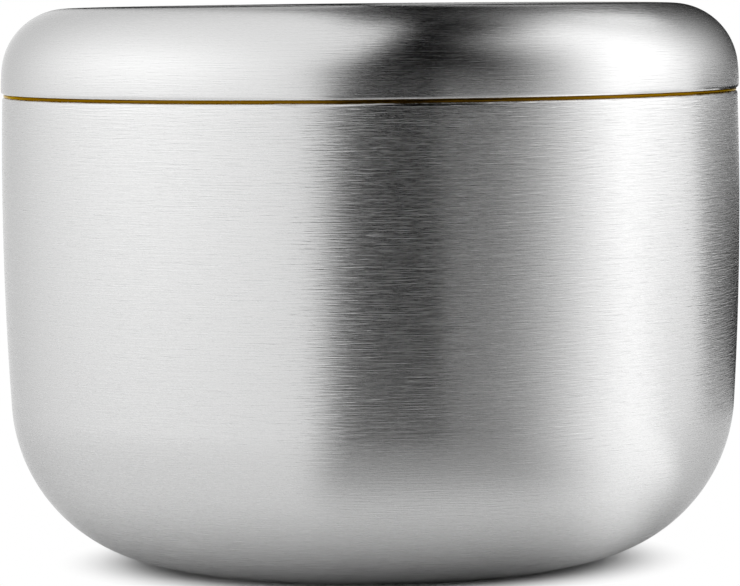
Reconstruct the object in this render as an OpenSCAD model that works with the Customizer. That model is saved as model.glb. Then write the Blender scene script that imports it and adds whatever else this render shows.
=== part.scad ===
// Insulated stainless bowl with a plug lid. The bowl is a double-walled steel
// vessel with a vacuum between its walls, and the lid is a steel cover over a
// pressed pan, filled with foam and sealed in the mouth by a silicone ring.
// Every pressed piece is round about Z. Z = 0 is the table.

/* [Bowl outside] */
// Width of the bowl at its widest
bowl_w = 220; // [190:1:250]
// Height of the outer shell up to its turned-in lip
bowl_h = 140; // [110:1:170]
// How far below the lip the bowl is widest
widest_drop = 29; // [10:1:40]
// Radius of the slight bulge of the side
side_r = 1050; // [700:10:2000]
// Radius of the corner between the side and the underside
corner_r = 50; // [35:1:58]
// Radius of the rounded underside
underside_r = 278; // [240:1:360]
// How far the edge of the standing flat lies inside the bowl's widest line
foot_inset = 47.5; // [41:0.5:54]

/* [Bowl walls] */
// Sheet thickness of the outer shell
shell_t = 0.9; // [0.6:0.1:1.2]
// Sheet thickness of the inner liner
liner_t = 0.7; // [0.5:0.1:1]
// Width of the vacuum space between the side walls
wall_gap = 7.2; // [6:0.1:10]
// Height of the vacuum space under the liner's floor
floor_gap = 7.1; // [6:0.1:12]
// Thickness of the reflecting foil wound round the liner
foil_t = 0.3; // [0.3:0.05:0.5]

/* [Rim] */
// Radius of the outer shell's top edge
rim_edge_r = 1.3; // [1.2:0.1:1.6]
// Thickness of the gold-toned trim ring in the seam
ring_t = 0.7; // [0.5:0.1:1]
// How far the ring's edge stays behind the bowl's side at the rim
ring_setback = 0.6; // [0.3:0.1:1.2]
// Width of the liner's flange, from the mouth's curve to its edge
flange_w = 2.6; // [1.8:0.1:3]

/* [Base] */
// Width of the ring that the bowl stands on
foot_ring_w = 8.5; // [7:0.5:10]
// Depth of the recess inside the standing ring
recess_h = 2.5; // [2.5:0.1:4]
// Width of the shell's ledge that carries the base plate
ledge_w = 7; // [5:0.5:8]
// Thickness of the welded base plate
plate_t = 0.8; // [0.6:0.1:1]
// Thickness of the cover over the pump-out hole
base_cover_t = 0.6; // [0.4:0.1:0.8]

/* [Lid] */
// Height of the lid's cover above its seat
lid_h = 25.3; // [22:0.1:40]
// Radius of the bulge of the lid's side
lid_side_r = 50; // [40:1:120]
// Radius of the corner between the lid's side and its flat top
lid_corner_r = 19.7; // [8:0.1:20]
// Radius of the curl at the lid's lower edge
lid_curl_r = 2; // [1.6:0.1:3]
// Sheet thickness of the lid's cover
cover_t = 1; // [0.6:0.1:1.2]
// Width of the cover's flat lip, which rests on the trim ring
lip_w = 2; // [1.5:0.1:2.4]
// Sheet thickness of the pan that closes the lid underneath
pan_t = 0.7; // [0.5:0.1:0.7]
// Depth of the plug that the pan forms in the bowl's mouth
plug_h = 12.2; // [11:0.1:20]

/* [Seal] */
// Gap between the plug and the bowl's mouth
plug_gap = 1.6; // [1.2:0.1:2.4]
// Height of the groove that holds the seal
groove_h = 5; // [4:0.1:6]
// Depth of the groove
groove_d = 2.6; // [2:0.1:3]
// Thickness of each of the seal's two lips
seal_lip_t = 0.7; // [0.5:0.1:0.9]

/* [Hidden] */
$fn = 180;

// How far a drawn arc may stray from the true one
arc_sag = 0.012;

// Clearances
weld_gap = 0.1;      // between the shell's lip and the liner's neck
ring_gap = 0.2;      // between the trim ring and the liner's mouth
foil_gap = 0.15;     // between the liner and the foil wound round it
cover_gap = 0.3;     // round the base cover in its recess
flange_gap = 0.3;    // between the lid's flanges and the cover's curl
foam_gap = 0.3;      // between the lid's foam and its steel
seal_gap = 0.2;      // between the seal and its groove
neck_gap = 0.3;      // between the seal's lips and the bowl's mouth

// Bowl outside, as circles that run into each other
bowl_r = bowl_w / 2;
widest_h = bowl_h - widest_drop;
side_c = [bowl_r - side_r, widest_h];
foot_r = bowl_r - foot_inset;
underside_c = [0, sqrt(pow(underside_r, 2) - pow(foot_r, 2))];
corner_c = crossing(side_c, side_r - corner_r, underside_c, underside_r - corner_r);
rim_edge_c = inside_circle(side_c, side_r, rim_edge_r, bowl_h - rim_edge_r);
foot_bend_r = 6;
foot_bend_c = inside_circle(underside_c, underside_r, foot_bend_r, foot_bend_r);
rim_r = rim_edge_c[0] + rim_edge_r;

// Recess in the base
recess_out_bend_r = 1.6;
recess_in_bend_r = 0.8;
recess_r = foot_r - foot_ring_w;
ledge_r = recess_r - ledge_w;
plate_z = recess_h + shell_t;
plate_edge_gap = 2;
plate_r = recess_r - plate_edge_gap;

// Pressed dimple in the base plate, with the pump-out hole and its seal
dimple_r = 9;
dimple_h = 2.3;
dimple_out_bend_r = 1.2;
dimple_in_bend_r = 0.6;
pump_hole_r = 1.6;
pump_fill_gap = 0.1;
bead_r = 5;
bead_h = 1.3;
bead_edge_r = 0.8;

// Getter on the base plate, under its spring clip, midway from dimple to edge
getter_place_r = (dimple_r + plate_r) / 2;
getter_r = 5;
getter_h = 2.2;
clip_t = 0.4;
clip_w = 4;
clip_gap = 0.1;
clip_foot = 3;

// Liner
neck_r = bowl_r - shell_t - wall_gap - liner_t;
liner_side_r = neck_r - side_c[0];
liner_corner_r = corner_r - shell_t - wall_gap - liner_t;
floor_z = plate_z + plate_t + floor_gap + liner_t;
liner_corner_c = inside_circle(side_c, liner_side_r, liner_corner_r, floor_z + liner_corner_r);
mouth_bend_r = ring_t + liner_t;
mouth_c = [neck_r + mouth_bend_r, bowl_h];
flange_z = bowl_h + mouth_bend_r;
flange_r = mouth_c[0] + flange_w;

// Foil screens
wall_foil_r = neck_r + liner_t + foil_gap + foil_t;
wall_foil_top = 8;         // left free below the lip
floor_foil_edge = 1.2;     // left free at the edge of the flat floor

// Trim ring
ring_r = rim_r - ring_setback;
ring_bore_r = mouth_c[0] + ring_gap;

// Lid cover
lid_z = bowl_h + ring_t;
lid_top = lid_z + lid_h;
curl_c = [bowl_r - lid_curl_r, lid_z + lid_curl_r];
lid_side_c = [bowl_r - lid_side_r, curl_c[1]];
lid_corner_c = inside_circle(lid_side_c, lid_side_r, lid_corner_r, lid_top - lid_corner_r);

// Lid pan
pan_flange_z = lid_z + cover_t;
pan_flange_r = curl_c[0] - flange_gap;
plug_r = neck_r - plug_gap;
plug_z = pan_flange_z - plug_h;
plug_root_bend_r = 1;
plug_foot_r = 3;
groove_out_bend_r = 0.8;
groove_in_bend_r = 0.3;
groove_r = plug_r - groove_d;
groove_z = plug_z + plug_foot_r + groove_out_bend_r;
groove_top = groove_z + groove_h;

// Seal
seal_back_r = groove_r + seal_gap;
seal_tip_r = neck_r - neck_gap;
seal_lip_rise = 1.1;

// Where circles about a and b meet, the lower of the two points
function crossing(a, ra, b, rb) =
    let (d = norm(b - a), along = (ra * ra - rb * rb + d * d) / (2 * d),
         across = sqrt(ra * ra - along * along), u = (b - a) / d)
    a + u * along + [u[1], -u[0]] * across;

// Centre of a circle of radius r at height z that touches a larger one from inside
function inside_circle(centre, big_r, r, z) =
    [centre[0] + sqrt(pow(big_r - r, 2) - pow(z - centre[1], 2)), z];

// Direction from one point to another, in degrees
function heading(a, b) = atan2(b[1] - a[1], b[0] - a[0]);

// An arc of a pressed face: points with the way that the face looks there.
// The face looks away from the centre, or towards it where side is -1.
function arc(centre, r, from, to, side = 1) =
    let (steps = max(1, ceil(abs(to - from) / (2 * acos(1 - arc_sag / r)))))
    [for (i = [0 : steps])
        let (a = from + (to - from) * i / steps, way = [cos(a), sin(a)])
        [centre + r * way, side * way]];

// The face moved inwards by a depth, as plain points
function points_at(face, depth) = [for (f = face) f[0] - depth * f[1]];

function reversed(list) = [for (i = [len(list) - 1 : -1 : 0]) list[i]];

// A sheet of even thickness behind a face, turned about Z
module pressed(face, thickness) {
    rotate_extrude()
        polygon(concat(points_at(face, 0), reversed(points_at(face, thickness))));
}

// Outer shell: lip, rim, side, corner, underside, standing ring, recess and ledge
function shell_face() = concat(
    [[[neck_r + liner_t + weld_gap, bowl_h], [0, 1]]],
    arc(rim_edge_c, rim_edge_r, 90, heading(side_c, rim_edge_c)),
    arc(side_c, side_r, heading(side_c, rim_edge_c), heading(side_c, corner_c)),
    arc(corner_c, corner_r, heading(side_c, corner_c), heading(underside_c, corner_c)),
    arc(underside_c, underside_r, heading(underside_c, corner_c),
        heading(underside_c, foot_bend_c)),
    arc(foot_bend_c, foot_bend_r, heading(underside_c, foot_bend_c), -90),
    arc([recess_r + recess_out_bend_r, recess_out_bend_r], recess_out_bend_r, -90, -180),
    arc([recess_r - recess_in_bend_r, recess_h - recess_in_bend_r], recess_in_bend_r,
        0, 90, -1),
    [[[ledge_r, recess_h], [0, -1]]]);

module outer_shell() {
    color("silver") pressed(shell_face(), shell_t);
}

// Liner: flange on the trim ring, curved mouth, straight neck, side, corner, floor
function liner_face() = concat(
    [[[flange_r, flange_z], [0, 1]]],
    arc(mouth_c, mouth_bend_r, 90, 180),
    arc(side_c, liner_side_r, 0, heading(side_c, liner_corner_c), -1),
    arc(liner_corner_c, liner_corner_r, heading(side_c, liner_corner_c), -90, -1),
    [[[0, floor_z], [0, 1]]]);

module inner_liner() {
    color("gainsboro") pressed(liner_face(), liner_t);
}

// Flat ring held between the shell's lip and the liner's flange; its edge shows
module rim_ring() {
    color("goldenrod")
        difference() {
            translate([0, 0, bowl_h]) cylinder(h = ring_t, r = ring_r);
            translate([0, 0, bowl_h - ring_t]) cylinder(h = 3 * ring_t, r = ring_bore_r);
        }
}

// Foil round the liner's side, from below the lip to where the corner begins
module radiation_shield_wall() {
    foil_side_r = wall_foil_r - side_c[0];
    foil_face = concat(
        [[[wall_foil_r, bowl_h - shell_t - wall_foil_top], [1, 0]]],
        arc(side_c, foil_side_r, 0, heading(side_c, liner_corner_c)));
    color("lightgray") pressed(foil_face, foil_t);
}

// Foil disc under the liner's flat floor
module radiation_shield_floor() {
    color("lightgray")
        translate([0, 0, floor_z - liner_t - foil_gap - foil_t])
            cylinder(h = foil_t, r = liner_corner_c[0] - floor_foil_edge);
}

// Pill that takes up stray gas, lying on the base plate
module getter_pill() {
    color("dimgray")
        translate([getter_place_r, 0, plate_z + plate_t])
            cylinder(h = getter_h, r = getter_r);
}

// Bent strip that is spot-welded to the base plate over the pill
module getter_clip() {
    inner_w = 2 * (getter_r + clip_gap);
    inner_h = getter_h + clip_gap;
    span = inner_w + 2 * clip_t;
    color("silver")
        translate([getter_place_r, 0, plate_z + plate_t]) {
            difference() {
                translate([-span / 2, -clip_w / 2, 0]) cube([span, clip_w, inner_h + clip_t]);
                translate([-inner_w / 2, -clip_w, -clip_t])
                    cube([inner_w, 2 * clip_w, inner_h + clip_t]);
            }
            for (side = [-1, 1])
                translate([side * (span + clip_foot) / 2 - clip_foot / 2, -clip_w / 2, 0])
                    cube([clip_foot, clip_w, clip_t]);
        }
}

// Base plate: disc on the shell's ledge, with a dimple for the pump-out hole
function plate_face() = concat(
    [[[plate_r, plate_z], [0, -1]]],
    arc([dimple_r + dimple_out_bend_r, plate_z + dimple_out_bend_r], dimple_out_bend_r,
        -90, -180),
    arc([dimple_r - dimple_in_bend_r, plate_z + dimple_h - dimple_in_bend_r],
        dimple_in_bend_r, 0, 90, -1),
    [[[pump_hole_r, plate_z + dimple_h], [0, -1]]]);

module vacuum_base_plate() {
    color("silver") pressed(plate_face(), plate_t);
}

// Solder bead that closes the pump-out hole from below
module pump_out_seal() {
    bead_top = plate_z + dimple_h;
    stem_r = pump_hole_r - pump_fill_gap;
    color("darkseagreen")
        rotate_extrude()
            polygon(concat(
                [[0, bead_top + plate_t], [stem_r, bead_top + plate_t],
                 [stem_r, bead_top], [bead_r, bead_top]],
                points_at(arc([bead_r - bead_edge_r, bead_top - bead_h + bead_edge_r],
                              bead_edge_r, 0, -90), 0),
                [[0, bead_top - bead_h]]));
}

// Thin disc bonded under the ledge, a little above the standing ring
module base_cover() {
    color("silver")
        translate([0, 0, recess_h - base_cover_t])
            cylinder(h = base_cover_t, r = recess_r - recess_in_bend_r - cover_gap);
}

// Lid cover: flat top, corner, side, curl and the flat lip that rests on the ring
function cover_face() = concat(
    [[[0, lid_top], [0, 1]]],
    arc(lid_corner_c, lid_corner_r, 90, heading(lid_side_c, lid_corner_c)),
    arc(lid_side_c, lid_side_r, heading(lid_side_c, lid_corner_c), 0),
    arc(curl_c, lid_curl_r, 0, -90),
    [[[curl_c[0] - lip_w, lid_z], [0, -1]]]);

module lid_cover() {
    color("silver") pressed(cover_face(), cover_t);
}

// Lid pan: flange on the cover's lip, plug wall with the seal's groove, floor
function pan_face() = concat(
    [[[pan_flange_r, pan_flange_z], [0, -1]]],
    arc([plug_r + plug_root_bend_r, pan_flange_z - plug_root_bend_r], plug_root_bend_r,
        90, 180, -1),
    arc([plug_r - groove_out_bend_r, groove_top + groove_out_bend_r], groove_out_bend_r,
        0, -90),
    arc([groove_r + groove_in_bend_r, groove_top - groove_in_bend_r], groove_in_bend_r,
        90, 180, -1),
    arc([groove_r + groove_in_bend_r, groove_z + groove_in_bend_r], groove_in_bend_r,
        180, 270, -1),
    arc([plug_r - groove_out_bend_r, groove_z - groove_out_bend_r], groove_out_bend_r,
        90, 0),
    arc([plug_r - plug_foot_r, plug_z + plug_foot_r], plug_foot_r, 0, -90),
    [[[0, plug_z], [0, -1]]]);

module lid_pan() {
    color("gainsboro") pressed(pan_face(), pan_t);
}

// Foam between the cover and the pan, down into the plug
module lid_insulation() {
    plug_foam_r = groove_r - pan_t - foam_gap;
    plug_foam_z = plug_z + pan_t + foam_gap;
    above_pan = pan_flange_z + pan_t + foam_gap;
    under_cover = [for (p = points_at(cover_face(), cover_t + foam_gap))
                   if (p[1] > above_pan + arc_sag) p];
    color("khaki")
        rotate_extrude()
            polygon(concat(under_cover,
                           [[under_cover[len(under_cover) - 1][0], above_pan],
                            [plug_foam_r, above_pan], [plug_foam_r, plug_foam_z],
                            [0, plug_foam_z]]));
}

// Silicone ring: a back that fills the groove, and two lips that reach to the neck
module lid_seal() {
    back_w = plug_r - seal_back_r;
    back_h = groove_h - 2 * seal_gap;
    color("whitesmoke")
        rotate_extrude() {
            translate([seal_back_r, groove_z + seal_gap]) square([back_w, back_h]);
            for (share = [0.1, 0.55])
                polygon([[seal_back_r, groove_z + seal_gap + back_h * share],
                         [seal_tip_r, groove_z + seal_gap + back_h * share + seal_lip_rise],
                         [seal_tip_r, groove_z + seal_gap + back_h * share + seal_lip_rise
                                      + seal_lip_t],
                         [seal_back_r, groove_z + seal_gap + back_h * share + seal_lip_t]]);
        }
}

outer_shell();
inner_liner();
rim_ring();
radiation_shield_wall();
radiation_shield_floor();
getter_pill();
getter_clip();
vacuum_base_plate();
pump_out_seal();
base_cover();
lid_cover();
lid_pan();
lid_insulation();
lid_seal();
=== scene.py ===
import math
import bpy
from mathutils import Matrix, Vector


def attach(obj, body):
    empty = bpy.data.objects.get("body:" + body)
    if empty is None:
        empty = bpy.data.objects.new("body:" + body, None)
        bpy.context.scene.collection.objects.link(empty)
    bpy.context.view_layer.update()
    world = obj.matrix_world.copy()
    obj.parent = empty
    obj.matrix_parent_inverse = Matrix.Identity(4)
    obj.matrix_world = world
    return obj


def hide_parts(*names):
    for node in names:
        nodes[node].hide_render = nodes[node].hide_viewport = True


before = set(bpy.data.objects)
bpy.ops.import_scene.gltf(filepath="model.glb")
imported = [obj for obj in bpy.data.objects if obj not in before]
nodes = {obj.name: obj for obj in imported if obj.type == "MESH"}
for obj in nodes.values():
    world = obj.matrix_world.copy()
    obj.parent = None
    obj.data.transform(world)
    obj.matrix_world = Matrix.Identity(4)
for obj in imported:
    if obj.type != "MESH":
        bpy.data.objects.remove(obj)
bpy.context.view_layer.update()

# Bowl shell. Outer wall of the vacuum vessel, spun from 0.9 mm steel sheet and
# brushed round and round. Its turned-in lip is welded to the liner's neck, and
# its rolled base makes the flat ring that the bowl stands on.
mm = 0.001
bowl_r = 110 * mm
bowl_h = 140 * mm
widest_h = 111 * mm
side_r = 1050 * mm
corner_r = 50 * mm
underside_r = 278 * mm
foot_r = 62.5 * mm
foot_bend_r = 6 * mm
rim_edge_r = 1.0 * mm
shell_t = 0.9 * mm
foot_ring_w = 8.5 * mm
recess_h = 2.5 * mm
recess_out_bend_r = 1.6 * mm
recess_in_bend_r = 0.8 * mm
ledge_w = 7 * mm
wall_gap = 7.2 * mm
liner_t = 0.7 * mm
weld_gap = 0.1 * mm
cut_edge_r = 0.12 * mm
away = 10 * mm
same_point = 0.001 * mm
turn_steps = 216
fine_turn = math.radians(1.2)
bend_turn = math.radians(9)
wide_turn = math.radians(0.25)
underside_turn = math.radians(0.5)
foot_bend_turn = math.radians(3)
sharp_from = math.radians(40)
smooth_below = math.radians(35)
edge_segments = 3


def heading(a, b):
    """Direction from one profile point to another, as an angle."""
    return math.atan2(b[1] - a[1], b[0] - a[0])


def crossing(a, ra, b, rb):
    """Lower of the two points where circles about a and b meet."""
    a, b = Vector(a), Vector(b)
    d = (b - a).length
    along = (ra * ra - rb * rb + d * d) / (2 * d)
    across = math.sqrt(ra * ra - along * along)
    u = (b - a) / d
    return a + u * along + Vector((u[1], -u[0])) * across


def inside_circle(centre, big_r, r, z):
    """Centre, at height z, of a circle of radius r that touches a larger one from inside."""
    return Vector((centre[0] + math.sqrt((big_r - r) ** 2 - (z - centre[1]) ** 2), z))


def on_circle(centre, r, angle):
    """The point of a circle at an angle."""
    return Vector((centre[0] + r * math.cos(angle), centre[1] + r * math.sin(angle)))


def start_profile(name, point):
    """A new piece that begins as one vertex of its profile, in the plane of X and Z."""
    bpy.ops.object.select_all(action="DESELECT")
    bpy.ops.mesh.primitive_plane_add(size=mm, location=(0, 0, 0))
    piece = bpy.context.object
    piece.name = piece.data.name = name
    bpy.ops.object.mode_set(mode="EDIT")
    bpy.ops.mesh.select_all(action="SELECT")
    bpy.ops.mesh.merge(type="CENTER")
    bpy.ops.transform.translate(value=(point[0], 0, point[1]))
    piece["pen"] = [point[0], point[1]]
    return piece


def draw_line(piece, point, steps=1):
    """The profile goes on in a straight line to a point."""
    pen = piece["pen"]
    step = ((point[0] - pen[0]) / steps, 0, (point[1] - pen[1]) / steps)
    for _ in range(steps):
        bpy.ops.mesh.extrude_region_move(TRANSFORM_OT_translate={"value": step})
    piece["pen"] = [point[0], point[1]]


def draw_arc(piece, centre, r, start, end, turn=fine_turn):
    """The profile goes on round a centre, from one angle to another."""
    steps = max(2, math.ceil(abs(end - start) / turn))
    bpy.ops.mesh.spin(steps=steps, angle=end - start, center=(centre[0], 0, centre[1]), axis=(0, 1, 0))
    piece["pen"] = list(on_circle(centre, r, end))


def turn_piece(piece, outward):
    """The profile is turned once about Z and its doubles are merged. outward is a point that
    says which way the faces look: the face nearest to it looks at it."""
    bpy.ops.mesh.select_all(action="SELECT")
    bpy.ops.mesh.spin(steps=turn_steps, angle=2 * math.pi, center=(0, 0, 0), axis=(0, 0, 1))
    bpy.ops.mesh.select_all(action="SELECT")
    bpy.ops.mesh.remove_doubles(threshold=same_point)
    bpy.ops.mesh.normals_make_consistent(inside=False)
    bpy.ops.object.mode_set(mode="OBJECT")
    bpy.ops.object.transform_apply(location=True, rotation=True, scale=True)
    near = min(piece.data.polygons, key=lambda f: (f.center - Vector(outward)).length)
    if near.normal.dot(Vector(outward) - near.center) < 0:
        bpy.ops.object.mode_set(mode="EDIT")
        bpy.ops.mesh.select_all(action="SELECT")
        bpy.ops.mesh.flip_normals()
        bpy.ops.object.mode_set(mode="OBJECT")
    del piece["pen"]


def give_sheet(piece, thickness):
    """The turned face gets its sheet thickness on the inner side, and its cut edges are broken."""
    wall = piece.modifiers.new("sheet", "SOLIDIFY")
    wall.thickness = thickness
    wall.offset = -1
    wall.use_even_offset = True
    bpy.ops.object.modifier_apply(modifier="sheet")
    soften(piece, cut_edge_r)


def soften(piece, edge):
    """Sharp edges get a small round."""
    bevel = piece.modifiers.new("broken_edge", "BEVEL")
    bevel.width = edge
    bevel.segments = edge_segments
    bevel.limit_method = "ANGLE"
    bevel.angle_limit = sharp_from
    bevel.use_clamp_overlap = True
    bpy.ops.object.modifier_apply(modifier="broken_edge")


def smooth():
    """The active piece is shaded smooth, but for its sharp edges."""
    bpy.ops.object.shade_smooth_by_angle(angle=smooth_below)


def node_maths(tree, operation, a, b=None, c=None):
    """One Math node; each input is a number or a socket."""
    node = tree.nodes.new("ShaderNodeMath")
    node.operation = operation
    for socket, value in zip(node.inputs, (a, b, c)):
        if value is None:
            continue
        if isinstance(value, (int, float)):
            socket.default_value = value
        else:
            tree.links.new(value, socket)
    return node.outputs[0]


def fade(tree, value, start, end, low=0.0, high=1.0, kind="SMOOTHSTEP"):
    """A soft change from low to high as the value goes from start to end."""
    node = tree.nodes.new("ShaderNodeMapRange")
    node.interpolation_type = kind
    tree.links.new(value, node.inputs["Value"])
    node.inputs["From Min"].default_value = start
    node.inputs["From Max"].default_value = end
    node.inputs["To Min"].default_value = low
    node.inputs["To Max"].default_value = high
    return node.outputs["Result"]


def new_finish(name):
    """A material with its shader; colour, roughness and relief are added to it."""
    material = bpy.data.materials.new(name)
    material.use_nodes = True
    shader = material.node_tree.nodes["Principled BSDF"]
    return material, material.node_tree, shader


def times(tree, *values):
    """The product of two or more sockets or numbers."""
    total = values[0]
    for value in values[1:]:
        total = node_maths(tree, "MULTIPLY", total, value)
    return total


def object_place(tree):
    """X, Y and Z on the piece, and the distance from its axis."""
    place = tree.nodes.new("ShaderNodeTexCoord").outputs["Object"]
    parts = tree.nodes.new("ShaderNodeSeparateXYZ")
    tree.links.new(place, parts.inputs[0])
    x, y, z = parts.outputs
    flat = node_maths(tree, "ADD", times(tree, x, x), times(tree, y, y))
    return x, y, z, node_maths(tree, "SQRT", flat)


scratch_octaves = 0.6


def scratches(tree, place, length, width, lean, detail=2.0, offset=0.0):
    """Fine lines drawn out round the axis, as the difference of two noises half a line apart.
    lean is 1 where the profile runs down and inwards, -1 where it runs up and inwards."""
    x, y, z, r = place
    across = node_maths(tree, "ADD", z, times(tree, r, lean))
    found = []
    for shift in (0.0, 0.5):
        joined = tree.nodes.new("ShaderNodeCombineXYZ")
        tree.links.new(node_maths(tree, "MULTIPLY_ADD", x, 1 / length, offset), joined.inputs[0])
        tree.links.new(times(tree, y, 1 / length), joined.inputs[1])
        tree.links.new(node_maths(tree, "MULTIPLY_ADD", across, 1 / width, shift), joined.inputs[2])
        noise = tree.nodes.new("ShaderNodeTexNoise")
        noise.inputs["Scale"].default_value = 1.0
        noise.inputs["Detail"].default_value = detail
        noise.inputs["Roughness"].default_value = scratch_octaves
        tree.links.new(joined.outputs[0], noise.inputs["Vector"])
        found.append(noise.outputs["Fac"])
    return node_maths(tree, "SUBTRACT", found[0], found[1])


def scratched_normal(tree, place, turn):
    """The face's direction, turned a little to and fro round the axis by the scratches."""
    x, y, z, r = place
    share = node_maths(tree, "DIVIDE", turn, node_maths(tree, "MAXIMUM", r, mm))
    sideways = tree.nodes.new("ShaderNodeCombineXYZ")
    tree.links.new(times(tree, y, share, -1.0), sideways.inputs[0])
    tree.links.new(times(tree, x, share), sideways.inputs[1])
    total = tree.nodes.new("ShaderNodeVectorMath")
    total.operation = "ADD"
    tree.links.new(tree.nodes.new("ShaderNodeTexCoord").outputs["Normal"], total.inputs[0])
    tree.links.new(sideways.outputs[0], total.inputs[1])
    half = tree.nodes.new("ShaderNodeVectorMath")
    half.operation = "MULTIPLY_ADD"
    half.inputs[1].default_value = half.inputs[2].default_value = (0.5, 0.5, 0.5)
    tree.links.new(total.outputs[0], half.inputs[0])
    face = tree.nodes.new("ShaderNodeNormalMap")
    face.space = "OBJECT"
    tree.links.new(half.outputs[0], face.inputs["Color"])
    return face.outputs[0]


fine_l, fine_w = 8 * mm, 0.34 * mm
rubbed_l, rubbed_w = 10 * mm, 0.38 * mm
long_l, long_w = 30 * mm, 0.6 * mm
rubbed_offset = 7.3
long_offset = 3.1
scratch_detail = 3.0
matt_from = 0.03
matt_to = 0.3
matt_lift = 0.4
long_shine = 0.02
deep_sway = 25.0
quarter_turn = 0.25


def brushed_metal(name, colour, rough, grain, edge_grey, lean, sway, relief, dull, patchy=4.0):
    """Metal brushed round its axis: sharp along the scratches and dull across them. sway turns
    the face in a scratch, dull is how matt the rubbed ones are, and patchy how uneven the gloss."""
    material, tree, shader = new_finish(name)
    shader.inputs["Specular Tint"].default_value = (edge_grey, edge_grey, edge_grey, 1)
    shader.inputs["Anisotropic"].default_value = grain
    shader.inputs["Anisotropic Rotation"].default_value = quarter_turn
    along = tree.nodes.new("ShaderNodeTangent")
    along.direction_type = "RADIAL"
    along.axis = "Z"
    tree.links.new(along.outputs[0], shader.inputs["Tangent"])
    place = object_place(tree)
    fine = scratches(tree, place, fine_l, fine_w, lean, scratch_detail)
    rubbed = scratches(tree, place, rubbed_l, rubbed_w, lean, scratch_detail, rubbed_offset)
    long = scratches(tree, place, long_l, long_w, lean, offset=long_offset)
    matt = fade(tree, rubbed, matt_from, matt_to, 0.0, dull, "LINEAR")
    tree.links.new(node_maths(tree, "SUBTRACT", 1.0, matt), shader.inputs["Metallic"])
    shine = node_maths(tree, "MULTIPLY_ADD", matt, matt_lift,
                       node_maths(tree, "MULTIPLY_ADD", long, long_shine, 1.0))
    paint = tree.nodes.new("ShaderNodeCombineColor")
    for channel, part in zip(paint.inputs, colour):
        tree.links.new(times(tree, shine, part), channel)
    tree.links.new(paint.outputs[0], shader.inputs["Base Color"])
    uneven = node_maths(tree, "POWER", 2.0, times(tree, rubbed, patchy))
    tree.links.new(times(tree, uneven, rough), shader.inputs["Roughness"])
    bump = tree.nodes.new("ShaderNodeBump")
    bump.inputs["Strength"].default_value = 1.0
    bump.inputs["Distance"].default_value = relief
    tree.links.new(node_maths(tree, "ADD", fine, long), bump.inputs["Height"])
    few = node_maths(tree, "MULTIPLY_ADD", node_maths(tree, "ABSOLUTE", fine), deep_sway * sway, sway)
    tree.links.new(scratched_normal(tree, place, times(tree, fine, few)), bump.inputs["Normal"])
    tree.links.new(bump.outputs[0], shader.inputs["Normal"])
    return material


def dress(piece, material):
    """The piece gets this material alone."""
    piece.data.materials.clear()
    piece.data.materials.append(material)


side_c = (bowl_r - side_r, widest_h)
underside_c = (0, math.sqrt(underside_r ** 2 - foot_r ** 2))
corner_c = crossing(side_c, side_r - corner_r, underside_c, underside_r - corner_r)
rim_edge_c = inside_circle(side_c, side_r, rim_edge_r, bowl_h - rim_edge_r)
foot_bend_c = inside_circle(underside_c, underside_r, foot_bend_r, foot_bend_r)
recess_r = foot_r - foot_ring_w
neck_r = bowl_r - shell_t - wall_gap - liner_t

lip = Vector((neck_r + liner_t + weld_gap, bowl_h))
rim_turn, side_turn = heading(side_c, rim_edge_c), heading(side_c, corner_c)
under_turn, foot_turn = heading(underside_c, corner_c), heading(underside_c, foot_bend_c)

bowl_shell = start_profile("bowl_shell", lip)
draw_line(bowl_shell, (rim_edge_c[0], bowl_h), steps=3)
draw_arc(bowl_shell, rim_edge_c, rim_edge_r, math.pi / 2, rim_turn, bend_turn)
draw_arc(bowl_shell, side_c, side_r, rim_turn, side_turn, wide_turn)
draw_arc(bowl_shell, corner_c, corner_r, side_turn, under_turn)
draw_arc(bowl_shell, underside_c, underside_r, under_turn, foot_turn, underside_turn)
draw_arc(bowl_shell, foot_bend_c, foot_bend_r, foot_turn, -math.pi / 2, foot_bend_turn)
draw_line(bowl_shell, (recess_r + recess_out_bend_r, 0), steps=3)
draw_arc(bowl_shell, (recess_r + recess_out_bend_r, recess_out_bend_r), recess_out_bend_r,
         -math.pi / 2, -math.pi, bend_turn)
draw_line(bowl_shell, (recess_r, recess_h - recess_in_bend_r))
draw_arc(bowl_shell, (recess_r - recess_in_bend_r, recess_h - recess_in_bend_r), recess_in_bend_r,
         0, math.pi / 2, bend_turn)
draw_line(bowl_shell, (recess_r - ledge_w, recess_h), steps=2)
turn_piece(bowl_shell, (bowl_r + away, 0, widest_h))
give_sheet(bowl_shell, shell_t)
smooth()
steel_grey = 0.69
steel_colour = (steel_grey, steel_grey, steel_grey)
steel_rough = 0.23
steel_grain = 1.0
steel_edge_grey = 0.716
scratch_sway = 0.06
scratch_dull = 0.42
scratch_relief = 0.02 * mm
bowl_steel = brushed_metal("brushed_steel_bowl", steel_colour, steel_rough, steel_grain, steel_edge_grey, 1,
                           scratch_sway, scratch_relief, scratch_dull)
dress(bowl_shell, bowl_steel)
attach(bowl_shell, "bowl")
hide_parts("outer_shell")

# Vacuum parts. Reflecting foil round the liner and under it, the base plate that
# is welded on the shell's ledge, the getter pill under its spot-welded clip, and
# the bead of solder glass that closes the pump-out hole.
def surface_noise(tree, size, detail=3.0, stretch=(1, 1, 1)):
    """Noise of a given grain size on the piece itself, from about -0.5 to 0.5."""
    place = tree.nodes.new("ShaderNodeMapping")
    place.inputs["Scale"].default_value = stretch
    tree.links.new(tree.nodes.new("ShaderNodeTexCoord").outputs["Object"], place.inputs["Vector"])
    noise = tree.nodes.new("ShaderNodeTexNoise")
    noise.inputs["Scale"].default_value = 1 / size
    noise.inputs["Detail"].default_value = detail
    tree.links.new(place.outputs[0], noise.inputs["Vector"])
    return node_maths(tree, "SUBTRACT", noise.outputs["Fac"], 0.5)


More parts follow.
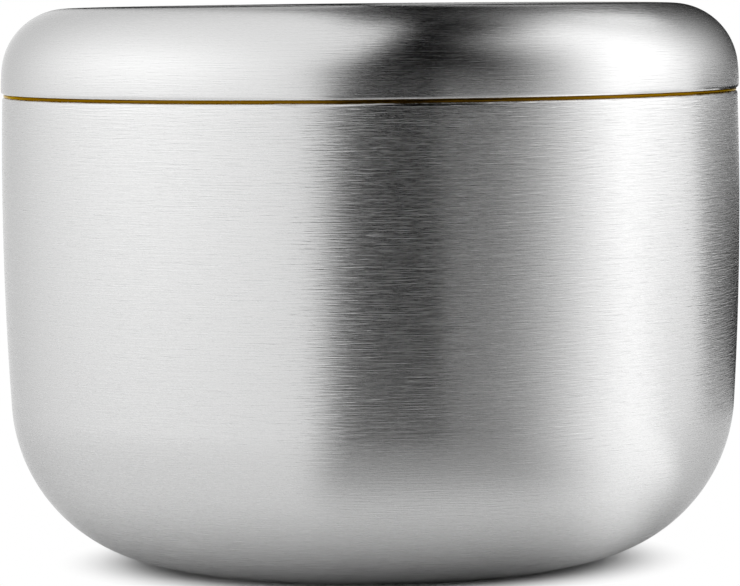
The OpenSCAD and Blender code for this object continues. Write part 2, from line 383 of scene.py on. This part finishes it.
def cells(tree, size, feature):
    """A pattern of cells of a given size on the piece itself."""
    pattern = tree.nodes.new("ShaderNodeTexVoronoi")
    pattern.feature = feature
    pattern.inputs["Scale"].default_value = 1 / size
    tree.links.new(tree.nodes.new("ShaderNodeTexCoord").outputs["Object"], pattern.inputs["Vector"])
    return pattern.outputs["Distance"]


def finish_from(tree, shader, colour, spread, rough, rough_spread, grain, height, relief):
    """Colour and roughness that vary with the grain, and a relief from the height."""
    paint = tree.nodes.new("ShaderNodeCombineColor")
    for channel, part in zip(paint.inputs, colour):
        tree.links.new(node_maths(tree, "MULTIPLY_ADD", grain, spread * part, part), channel)
    tree.links.new(paint.outputs[0], shader.inputs["Base Color"])
    tree.links.new(node_maths(tree, "MULTIPLY_ADD", grain, rough_spread, rough), shader.inputs["Roughness"])
    bump = tree.nodes.new("ShaderNodeBump")
    bump.inputs["Distance"].default_value = relief
    tree.links.new(height, bump.inputs["Height"])
    tree.links.new(bump.outputs[0], shader.inputs["Normal"])


foil_crease = 5 * mm
foil_wave = 6 * mm
foil, tree, shader = new_finish("crinkled_foil")
shader.inputs["Metallic"].default_value = 1.0
grain = surface_noise(tree, foil_wave)
creases = node_maths(tree, "ADD", cells(tree, foil_crease, "DISTANCE_TO_EDGE"), grain)
finish_from(tree, shader, colour=(0.82, 0.82, 0.83), spread=0.1, rough=0.2, rough_spread=0.2,
            grain=grain, height=creases, relief=0.3 * mm)
dress(nodes["radiation_shield_wall"], foil)
dress(nodes["radiation_shield_floor"], foil)

getter_grain = 0.25 * mm
getter_metal = 0.6
sintered, tree, shader = new_finish("sintered_getter")
shader.inputs["Metallic"].default_value = getter_metal
grain = surface_noise(tree, getter_grain, detail=4.0)
finish_from(tree, shader, colour=(0.12, 0.12, 0.125), spread=1.0, rough=0.65, rough_spread=0.3,
            grain=grain, height=grain, relief=0.08 * mm)
dress(nodes["getter_pill"], sintered)

strip_grain = 0.3 * mm
strip_stretch = (0.06, 1, 1)
spring, tree, shader = new_finish("spring_strip")
shader.inputs["Metallic"].default_value = 1.0
grain = surface_noise(tree, strip_grain, stretch=strip_stretch)
finish_from(tree, shader, colour=(0.6, 0.6, 0.61), spread=0.15, rough=0.3, rough_spread=0.3,
            grain=grain, height=grain, relief=0.01 * mm)
dress(nodes["getter_clip"], spring)

plate_steel = brushed_metal("pressed_steel_plate", steel_colour, rough=0.33, grain=0.7, edge_grey=0.8,
                            lean=-1, sway=0.03, relief=scratch_relief, dull=0.2)
dress(nodes["vacuum_base_plate"], plate_steel)

glass_ripple = 1.2 * mm
glass_ior = 1.6
glass, tree, shader = new_finish("solder_glass")
shader.inputs["IOR"].default_value = glass_ior
grain = surface_noise(tree, glass_ripple)
finish_from(tree, shader, colour=(0.11, 0.16, 0.11), spread=0.8, rough=0.12, rough_spread=0.2,
            grain=grain, height=grain, relief=0.03 * mm)
dress(nodes["pump_out_seal"], glass)

# Liner. The pot that holds the food, drawn and spun from 0.7 mm steel with a
# satin finish. Its mouth curves out into a flange that clamps the trim ring.
ring_t = 0.7 * mm
plate_t = 0.8 * mm
floor_gap = 7.1 * mm
flange_w = 2.6 * mm
mouth_turn = math.radians(7.5)
corner_turn = math.radians(1.5)
mouth_bend_r = ring_t + liner_t
mouth_c = (neck_r + mouth_bend_r, bowl_h)
liner_side_r = neck_r - side_c[0]
liner_corner_r = corner_r - shell_t - wall_gap - liner_t
floor_z = recess_h + shell_t + plate_t + floor_gap + liner_t
liner_corner_c = inside_circle(side_c, liner_side_r, liner_corner_r, floor_z + liner_corner_r)
liner_turn = heading(side_c, liner_corner_c)

liner = start_profile("liner_pot", (mouth_c[0] + flange_w, bowl_h + mouth_bend_r))
draw_line(liner, (mouth_c[0], bowl_h + mouth_bend_r), steps=3)
draw_arc(liner, mouth_c, mouth_bend_r, math.pi / 2, math.pi, mouth_turn)
draw_line(liner, (neck_r, widest_h), steps=6)
draw_arc(liner, side_c, liner_side_r, 0, liner_turn, wide_turn)
draw_arc(liner, liner_corner_c, liner_corner_r, liner_turn, -math.pi / 2, corner_turn)
draw_line(liner, (0, floor_z), steps=6)
turn_piece(liner, (0, 0, floor_z + away))
give_sheet(liner, liner_t)
smooth()
liner_steel = brushed_metal("satin_steel_liner", steel_colour, rough=0.3, grain=0.85, edge_grey=0.8, lean=1,
                            sway=0.04, relief=scratch_relief, dull=0.2)
dress(liner, liner_steel)
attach(liner, "bowl")
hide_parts("inner_liner")

# Base cover. Thin steel disc bonded under the shell's ledge, where it hides the
# base plate. Its edge is rounded and a fine groove is turned near it.
base_cover_t = 0.6 * mm
cover_gap = 0.3 * mm
base_edge_r = 0.25 * mm
groove_line_r = 45.5 * mm
groove_line_w = 1.4 * mm
groove_line_d = 0.12 * mm
groove_slope_w = 0.35 * mm
small_turn = math.radians(15)
base_r = recess_r - recess_in_bend_r - cover_gap
base_z = recess_h - base_cover_t

base_disc = start_profile("base_disc", (0, base_z))
draw_line(base_disc, (groove_line_r - groove_line_w, base_z), steps=6)
draw_line(base_disc, (groove_line_r - groove_line_w + groove_slope_w, base_z + groove_line_d))
draw_line(base_disc, (groove_line_r - groove_slope_w, base_z + groove_line_d))
draw_line(base_disc, (groove_line_r, base_z))
draw_line(base_disc, (base_r - base_edge_r, base_z), steps=2)
draw_arc(base_disc, (base_r - base_edge_r, base_z + base_edge_r), base_edge_r, -math.pi / 2, 0, small_turn)
draw_line(base_disc, (base_r, recess_h))
draw_line(base_disc, (0, recess_h), steps=3)
turn_piece(base_disc, (0, 0, base_z - away))
smooth()
base_steel = brushed_metal("brushed_steel_base", steel_colour, steel_rough, steel_grain, steel_edge_grey, -1,
                           scratch_sway, scratch_relief, scratch_dull)
dress(base_disc, base_steel)
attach(base_disc, "bowl")
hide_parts("base_cover")

# Trim ring. Flat gold-toned ring, cut from sheet and polished. It is held
# between the shell's lip and the liner's flange, and only its edge shows, whose
# colour is painted dark as painted shade in the recess.
ring_setback = 0.35 * mm
ring_gap = 0.2 * mm
ring_edge_r = 0.12 * mm
ring_edge_turn = math.radians(30)
ring_r = rim_edge_c[0] + rim_edge_r - ring_setback
ring_top = bowl_h + ring_t
ring_bore_r = mouth_c[0] + ring_gap
ring_edge_x = ring_r - ring_edge_r

trim_ring = start_profile("gold_trim_ring", (ring_bore_r, bowl_h))
draw_line(trim_ring, (ring_edge_x, bowl_h), steps=2)
draw_arc(trim_ring, (ring_edge_x, bowl_h + ring_edge_r), ring_edge_r, -math.pi / 2, 0, ring_edge_turn)
draw_line(trim_ring, (ring_r, ring_top - ring_edge_r), steps=2)
draw_arc(trim_ring, (ring_edge_x, ring_top - ring_edge_r), ring_edge_r, 0, math.pi / 2, ring_edge_turn)
draw_line(trim_ring, (ring_bore_r, ring_top), steps=2)
draw_line(trim_ring, (ring_bore_r, bowl_h))
turn_piece(trim_ring, (ring_r + away, 0, bowl_h + ring_t / 2))
smooth()
gold_colour = (0.74, 0.52, 0.2)
# painted shade: the dark brown that the ring's outer edge is painted with, for the shade in the recess
# between lid and bowl
recess_shade_colour = (0.16, 0.078, 0.002)
gold_glance = (0.9, 0.7, 0.25)
shade_from = 0.25 * mm
shade_to = 0.05 * mm
gold = brushed_metal("gold_toned_ring", gold_colour, rough=0.12, grain=0.6, edge_grey=0.9, lean=-1,
                     sway=0.03, relief=0.01 * mm, dull=0.1)


def change_to(tree, socket, kind, share, value):
    """What feeds a socket of the shader goes over to a value as the share goes to 1."""
    change = tree.nodes.new("ShaderNodeMix")
    change.data_type = kind
    tree.links.new(share, change.inputs["Factor"])
    tree.links.new(socket.links[0].from_socket, change.inputs["A"])
    change.inputs["B"].default_value = value
    tree.links.new(change.outputs["Result"], socket)


tree = gold.node_tree
shader = tree.nodes["Principled BSDF"]
shader.inputs["Specular Tint"].default_value = (*gold_glance, 1)
x, y, z, r = object_place(tree)
# painted shade: towards the ring's outer edge the gold colour goes over to the dark brown
painted_shade = fade(tree, r, ring_r - shade_from, ring_r - shade_to)
change_to(tree, shader.inputs["Base Color"], "RGBA", painted_shade, (*recess_shade_colour, 1))
dress(trim_ring, gold)
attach(trim_ring, "bowl")
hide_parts("rim_ring")

# Lid cover. Pressed from 1 mm steel sheet with a flat top and a wide round
# corner, and brushed round and round like the bowl. Its curled lower edge is
# polished smoother, and its colour is painted paler there as a painted highlight line.
lid_z = bowl_h + ring_t
lid_h = 25.3 * mm
lid_top = lid_z + lid_h
lid_side_r = 50 * mm
lid_corner_r = 19.7 * mm
lid_curl_r = 1.2 * mm
lid_widest_rise = 2 * mm
cover_t = 1 * mm
lip_w = 2.8 * mm
top_edge_w = 12 * mm
lid_side_turn = math.radians(0.8)
curl_turn = math.radians(6)

curl_c = (bowl_r - lid_curl_r, lid_z + lid_curl_r)
lid_side_c = (bowl_r - lid_side_r, lid_z + lid_widest_rise)
lid_corner_c = inside_circle(lid_side_c, lid_side_r, lid_corner_r, lid_top - lid_corner_r)
lid_turn = heading(lid_side_c, lid_corner_c)

lid_cover = start_profile("lid_cover_pressed", (0, lid_top))
draw_line(lid_cover, (lid_corner_c[0] - top_edge_w, lid_top), steps=4)
draw_line(lid_cover, (lid_corner_c[0], lid_top), steps=12)
draw_arc(lid_cover, lid_corner_c, lid_corner_r, math.pi / 2, lid_turn, corner_turn)
draw_arc(lid_cover, lid_side_c, lid_side_r, lid_turn, 0, lid_side_turn)
draw_line(lid_cover, (bowl_r, curl_c[1]))
draw_arc(lid_cover, curl_c, lid_curl_r, 0, -math.pi / 2, curl_turn)
draw_line(lid_cover, (curl_c[0] - lip_w, lid_z), steps=2)
turn_piece(lid_cover, (0, 0, lid_top + away))
give_sheet(lid_cover, cover_t)
smooth()
lid_scratch_sway = 0.02
lid_scratch_dull = 0.09
lid_patchy = 2.5
lid_steel = brushed_metal("brushed_steel_lid", steel_colour, steel_rough, steel_grain, steel_edge_grey, -1,
                          lid_scratch_sway, scratch_relief, lid_scratch_dull, lid_patchy)
# painted highlight: a paler colour on the curled lower edge, which brightens its highlight line
painted_highlight_colour = (0.95, 0.95, 0.95)
burnished_rough = 0.08
burnish_and_highlight_to = 0.2 * mm
burnish_and_highlight_end = 0.7 * mm
tree = lid_steel.node_tree
shader = tree.nodes["Principled BSDF"]
x, y, z, r = object_place(tree)
# the band at the lower edge is part real polish (lower roughness) and part painted highlight (paler colour)
burnish_and_highlight = fade(tree, z, lid_z + burnish_and_highlight_to, lid_z + burnish_and_highlight_end, 1.0, 0.0)
change_to(tree, shader.inputs["Base Color"], "RGBA", burnish_and_highlight, (*painted_highlight_colour, 1))
change_to(tree, shader.inputs["Roughness"], "FLOAT", burnish_and_highlight, burnished_rough)
dress(lid_cover, lid_steel)
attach(lid_cover, "lid")
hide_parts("lid_cover")

# Lid pan. Pressed from 0.7 mm steel. It closes the lid below and forms the plug
# that drops into the mouth, with a groove pressed round it for the seal.
pan_t = 0.7 * mm
flange_gap = 1.1 * mm
plug_gap = 1.6 * mm
plug_h = 12.2 * mm
plug_root_bend_r = 1 * mm
plug_foot_r = 3 * mm
groove_h = 5 * mm
groove_d = 2.6 * mm
groove_out_bend_r = 0.8 * mm
groove_in_bend_r = 0.3 * mm
pan_z = lid_z + cover_t
pan_r = curl_c[0] - flange_gap
plug_r = neck_r - plug_gap
plug_z = pan_z - plug_h
groove_r = plug_r - groove_d
groove_z = plug_z + plug_foot_r + groove_out_bend_r
groove_top = groove_z + groove_h

lid_pan = start_profile("lid_pan_pressed", (pan_r, pan_z))
draw_line(lid_pan, (plug_r + plug_root_bend_r, pan_z), steps=3)
draw_arc(lid_pan, (plug_r + plug_root_bend_r, pan_z - plug_root_bend_r), plug_root_bend_r,
         math.pi / 2, math.pi, small_turn)
draw_line(lid_pan, (plug_r, groove_top + groove_out_bend_r))
draw_arc(lid_pan, (plug_r - groove_out_bend_r, groove_top + groove_out_bend_r), groove_out_bend_r,
         0, -math.pi / 2, small_turn)
draw_line(lid_pan, (groove_r + groove_in_bend_r, groove_top))
draw_arc(lid_pan, (groove_r + groove_in_bend_r, groove_top - groove_in_bend_r), groove_in_bend_r,
         math.pi / 2, math.pi, small_turn)
draw_line(lid_pan, (groove_r, groove_z + groove_in_bend_r))
draw_arc(lid_pan, (groove_r + groove_in_bend_r, groove_z + groove_in_bend_r), groove_in_bend_r,
         math.pi, 1.5 * math.pi, small_turn)
draw_line(lid_pan, (plug_r - groove_out_bend_r, groove_z))
draw_arc(lid_pan, (plug_r - groove_out_bend_r, groove_z - groove_out_bend_r), groove_out_bend_r,
         math.pi / 2, 0, small_turn)
draw_arc(lid_pan, (plug_r - plug_foot_r, plug_z + plug_foot_r), plug_foot_r, 0, -math.pi / 2, curl_turn)
draw_line(lid_pan, (0, plug_z), steps=8)
turn_piece(lid_pan, (0, 0, plug_z - away))
give_sheet(lid_pan, pan_t)
smooth()
pan_steel = brushed_metal("satin_steel_pan", steel_colour, rough=0.3, grain=0.85, edge_grey=0.8, lean=1,
                          sway=0.04, relief=scratch_relief, dull=0.2)
dress(lid_pan, pan_steel)
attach(lid_pan, "lid")
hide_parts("lid_pan")

# Lid foam. Pale rigid foam that is poured between the cover and the pan and
# sets there, so it takes their shape. It isn't seen.
foam_stain = 3 * mm
foam_pore = 0.7 * mm
foam, tree, shader = new_finish("rigid_foam")
grain = surface_noise(tree, foam_stain)
pores = cells(tree, foam_pore, "F1")
finish_from(tree, shader, colour=(0.71, 0.58, 0.32), spread=0.3, rough=0.88, rough_spread=0.1,
            grain=grain, height=pores, relief=0.3 * mm)
dress(nodes["lid_insulation"], foam)

# Lid seal. Moulded silicone ring that is stretched into the pan's groove. Two
# thin lips lean up and out from its back to wipe the bowl's neck.
seal_gap = 0.2 * mm
neck_gap = 0.3 * mm
seal_lip_t = 0.7 * mm
seal_lip_rise = 1.1 * mm
seal_edge_r = 0.15 * mm
lip_places = (0.1, 0.55)
seal_back_r = groove_r + seal_gap
seal_tip_r = neck_r - neck_gap
seal_z = groove_z + seal_gap
seal_h = groove_h - 2 * seal_gap
lip_root_rise = seal_lip_rise * (plug_r - seal_back_r) / (seal_tip_r - seal_back_r)

lid_seal = start_profile("silicone_seal_ring", (seal_back_r, seal_z))
draw_line(lid_seal, (plug_r, seal_z))
for share in lip_places:
    lip_z = seal_z + seal_h * share
    draw_line(lid_seal, (plug_r, lip_z + lip_root_rise))
    draw_line(lid_seal, (seal_tip_r, lip_z + seal_lip_rise), steps=2)
    draw_line(lid_seal, (seal_tip_r, lip_z + seal_lip_rise + seal_lip_t))
    draw_line(lid_seal, (plug_r, lip_z + lip_root_rise + seal_lip_t), steps=2)
draw_line(lid_seal, (plug_r, seal_z + seal_h))
draw_line(lid_seal, (seal_back_r, seal_z + seal_h))
draw_line(lid_seal, (seal_back_r, seal_z))
turn_piece(lid_seal, (plug_r + away, 0, seal_z))
soften(lid_seal, seal_edge_r)
smooth()
silicone_ior = 1.41
silicone_grain = 0.8 * mm
silicone, tree, shader = new_finish("milky_silicone")
shader.inputs["IOR"].default_value = silicone_ior
grain = surface_noise(tree, silicone_grain)
finish_from(tree, shader, colour=(0.62, 0.62, 0.59), spread=0.08, rough=0.42, rough_spread=0.2,
            grain=grain, height=grain, relief=0.02 * mm)
dress(lid_seal, silicone)
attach(lid_seal, "lid")
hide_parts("lid_seal")

# Studio. A pale table with three cards on it that only the steel sees, under a
# round tent of cloth: lit on the left, a softbox and a small spot on the right,
# and dark between. Bearings are in degrees, from the camera to the right.
table_r = 30.0
table_sides = 128
table_drop = 0.05 * mm
table_grey = 0.8
shadow_from = 0.066
shadow_to = 0.096
white_near = 0.636
white_from = 0.0747
white_to = 0.1279
far_from = 0.13
far_to = 0.45
card_r = 3.0
card_sides = 96
card_lift = 0.4 * mm
front_card_side = -12.0
front_card_end = 83.3
front_card_blur = 6
front_card_from = 0.105
front_card_to = 0.155
black_from = 0.13
front_card_fade = 0.43
front_card_dark = 0.393
dark_card_end = 19.5
side_card_dark = 0.285
side_card_pale = 1.462
side_card_curve = 1.6
back_card_side = 114.6
back_card_blur = 8.2
back_card_from = 0.452
back_card_in = 0.04
back_card_out = 0.06
back_card_dark = 0.028
pale_card_side = 60.3
pale_card_w = 15.3
pale_card_from = 0.065
pale_card_full = 0.1
pale_card_fade = 0.2
pale_card_end = 0.4
pale_card_light = 0.352
tent_r = 8.0
tent_sides = 64
tent_rings = 32
back_light_at = -150
side_light_at = -75
back_light = 0.976
side_light = 1.522
front_light = 0.949
top_light = 1.045
top_from = 0.3
edge_low = -0.269
edge_rise = 0.377
edge_from = -0.077
edge_to = 1.193
edge_blur = 0.563
edge_sharpen = -0.598
edge_blur_least = 0.02
rear_edge_low = -0.091
rear_edge_lean = 0.051
rear_blur = 0.02
edge_turn_from = -0.05
edge_turn_to = 0.376
box_light = 2.7
box_start = 40.6
box_lean = -0.259
box_full = 100.3
box_spread = 0.792
box_fall = 50.0
box_end = 180.7
box_top = 54.9
box_over = 69.5
spot_light = 1.024
spot_side = 148.6
spot_w = 8.8
spot_up = 42.0
spot_h = 7.3
spot_end = 3


def stage_shader(name):
    """An empty material for a piece of the studio."""
    material = bpy.data.materials.new(name)
    material.use_nodes = True
    tree = material.node_tree
    tree.nodes.clear()
    return material, tree, tree.nodes.new("ShaderNodeOutputMaterial")


def bearing_of(tree, x, y):
    """Angle round the table from the camera's side towards the right, in degrees."""
    turn = node_maths(tree, "ARCTAN2", x, times(tree, y, -1.0))
    return times(tree, turn, 180 / math.pi)


def between(tree, low, high, share):
    """low where the share is 0 and high where it is 1."""
    return node_maths(tree, "MULTIPLY_ADD", node_maths(tree, "SUBTRACT", high, low), share, low)


def glow(tree, level):
    """Light of a given level, which is a number or a socket."""
    lit = tree.nodes.new("ShaderNodeEmission")
    if isinstance(level, float):
        lit.inputs["Strength"].default_value = level
    else:
        tree.links.new(level, lit.inputs["Strength"])
    return lit.outputs[0]


def layered(tree, under, over, share):
    """One shader over another, by a share."""
    blend = tree.nodes.new("ShaderNodeMixShader")
    tree.links.new(share, blend.inputs["Fac"])
    tree.links.new(under, blend.inputs[1])
    tree.links.new(over, blend.inputs[2])
    return blend.outputs[0]


bpy.ops.object.select_all(action="DESELECT")
bpy.ops.mesh.primitive_circle_add(vertices=table_sides, radius=table_r, fill_type="TRIFAN",
                                  location=(0, 0, -table_drop))
table = bpy.context.object
table.name = "table"
paper, tree, out = stage_shader("pale_table")
pale_paper = tree.nodes.new("ShaderNodeBsdfDiffuse")
pale_paper.inputs["Color"].default_value = (table_grey, table_grey, table_grey, 1)
ray = tree.nodes.new("ShaderNodeLightPath")
x, y, z, r = object_place(tree)
direct = node_maths(tree, "ADD", ray.outputs["Is Camera Ray"], ray.outputs["Is Transmission Ray"])
direct = times(tree, direct, fade(tree, r, shadow_from, shadow_to))
near = fade(tree, r, white_from, white_to, 0, white_near)
far = fade(tree, r, far_from, far_to, 0, 1 - white_near)
in_steel = times(tree, ray.outputs["Is Glossy Ray"], node_maths(tree, "ADD", near, far))
white = node_maths(tree, "MINIMUM", node_maths(tree, "ADD", direct, in_steel), 1.0)
tree.links.new(layered(tree, pale_paper.outputs[0], glow(tree, 1.0), white), out.inputs["Surface"])
dress(table, paper)

bpy.ops.object.select_all(action="DESELECT")
bpy.ops.mesh.primitive_circle_add(vertices=card_sides, radius=card_r, fill_type="TRIFAN",
                                  location=(0, 0, card_lift))
cards = bpy.context.object
cards.name = "cards"
cards.visible_camera = cards.visible_diffuse = cards.visible_shadow = False
card, tree, out = stage_shader("card")
x, y, z, r = object_place(tree)
bearing = bearing_of(tree, x, y)
front = times(tree, fade(tree, bearing, front_card_side - front_card_blur, front_card_side + front_card_blur),
              fade(tree, bearing, front_card_end - front_card_blur, front_card_end + front_card_blur, 1, 0),
              fade(tree, r, front_card_from, front_card_to))
black = fade(tree, r, black_from, front_card_fade, front_card_dark, 0.0)
ramp = fade(tree, bearing, dark_card_end, front_card_end, 0.0, 1.0, "LINEAR")
grey = between(tree, side_card_dark, side_card_pale, node_maths(tree, "POWER", ramp, side_card_curve))
grey = times(tree, grey, node_maths(tree, "GREATER_THAN", bearing, dark_card_end))
back = times(tree, fade(tree, bearing, back_card_side - back_card_blur, back_card_side + back_card_blur),
             fade(tree, r, back_card_from - back_card_in, back_card_from + back_card_out))
level = between(tree, node_maths(tree, "MAXIMUM", black, grey), back_card_dark, back)
clear = tree.nodes.new("ShaderNodeBsdfTransparent")
shown = node_maths(tree, "MAXIMUM", front, back)
aside = node_maths(tree, "MULTIPLY_ADD", bearing, 1 / pale_card_w, -pale_card_side / pale_card_w)
pale = node_maths(tree, "POWER", math.e, times(tree, aside, aside, -1.0))
pale = times(tree, pale, fade(tree, r, pale_card_from, pale_card_full),
             fade(tree, r, pale_card_fade, pale_card_end, pale_card_light, 0.0))
both = tree.nodes.new("ShaderNodeAddShader")
tree.links.new(layered(tree, clear.outputs[0], glow(tree, level), shown), both.inputs[0])
tree.links.new(glow(tree, pale), both.inputs[1])
tree.links.new(both.outputs[0], out.inputs["Surface"])
card.cycles.emission_sampling = "NONE"
dress(cards, card)

bpy.ops.object.select_all(action="DESELECT")
bpy.ops.mesh.primitive_uv_sphere_add(segments=tent_sides, ring_count=tent_rings, radius=tent_r,
                                     location=(0, 0, 0))
tent = bpy.context.object
tent.name = "light_tent"
tent.visible_camera = False
cloth, tree, out = stage_shader("tent_cloth")
unit = tree.nodes.new("ShaderNodeVectorMath")
unit.operation = "NORMALIZE"
tree.links.new(tree.nodes.new("ShaderNodeTexCoord").outputs["Object"], unit.inputs[0])
parts = tree.nodes.new("ShaderNodeSeparateXYZ")
tree.links.new(unit.outputs[0], parts.inputs[0])
x, y, z = parts.outputs
bearing = bearing_of(tree, x, y)
up = times(tree, node_maths(tree, "ARCSINE", z), 180 / math.pi)
level = node_maths(tree, "ADD", fade(tree, bearing, back_light_at, side_light_at, back_light, side_light),
                   fade(tree, bearing, side_light_at, 0, 0, front_light - side_light))
level = between(tree, level, top_light, fade(tree, z, top_from, 1.0))
edge = fade(tree, z, edge_from, edge_to, edge_low, edge_low + edge_rise)
blur = node_maths(tree, "MULTIPLY_ADD", z, edge_sharpen, edge_blur)
blur = node_maths(tree, "MAXIMUM", blur, edge_blur_least)
front = node_maths(tree, "DIVIDE", node_maths(tree, "SUBTRACT", x, edge), blur)
rear = node_maths(tree, "SUBTRACT", x, node_maths(tree, "MULTIPLY_ADD", z, rear_edge_lean, rear_edge_low))
lit = between(tree, fade(tree, front, -0.5, 0.5, 1, 0), fade(tree, rear, -rear_blur, rear_blur, 1, 0),
              fade(tree, y, edge_turn_from, edge_turn_to))
from_edge = node_maths(tree, "SUBTRACT", bearing, node_maths(tree, "MULTIPLY_ADD", up, box_lean, box_start))
box_w = node_maths(tree, "MULTIPLY_ADD", up, box_spread, box_full - box_start)
box = times(tree, fade(tree, node_maths(tree, "DIVIDE", from_edge, box_w), 0, 1, 0, box_light),
            fade(tree, bearing, box_fall, box_end, 1, 0), fade(tree, up, box_top, box_over, 1, 0))
aside = node_maths(tree, "MULTIPLY_ADD", bearing, 1 / spot_w, -spot_side / spot_w)
above = node_maths(tree, "MULTIPLY_ADD", up, 1 / spot_h, -spot_up / spot_h)
far_off = node_maths(tree, "ADD", times(tree, aside, aside), times(tree, above, above))
spot = fade(tree, far_off, 0, spot_end, spot_light, 0)
total = node_maths(tree, "ADD", node_maths(tree, "ADD", times(tree, level, lit), box), spot)
tree.links.new(glow(tree, total), out.inputs["Surface"])
cloth.cycles.emission_sampling = "NONE"
dress(tent, cloth)

world = bpy.data.worlds.new("white_room")
world.use_nodes = True
world.node_tree.nodes["Background"].inputs["Color"].default_value = (1, 1, 1, 1)
world.node_tree.nodes["Background"].inputs["Strength"].default_value = 1.0
bpy.context.scene.world = world

# Camera. It stands 1.49 m before the bowl and 39 mm above its rim, and looks a
# little down, with a long lens.
camera_back = 1.48694
camera_up = 0.178895
camera_swing = 0.000376
camera_tip = 0.0664
camera_roll = 0.010189
lens = 241.95
film_w = 36
sight = 200
camera_data = bpy.data.cameras.new("camera")
camera_data.sensor_fit = "HORIZONTAL"
camera_data.sensor_width = film_w
camera_data.lens = lens
camera_data.clip_end = sight
camera = bpy.data.objects.new("camera", camera_data)
bpy.context.scene.collection.objects.link(camera)
place = Matrix.Translation((0, -camera_back, camera_up))
turn = Matrix.Rotation(camera_swing, 4, "Z")
tip = Matrix.Rotation(math.radians(90) - camera_tip, 4, "X")
camera.matrix_world = place @ turn @ tip @ Matrix.Rotation(-camera_roll, 4, "Z")
bpy.context.scene.camera = camera
bpy.context.scene.view_settings.view_transform = "Standard"
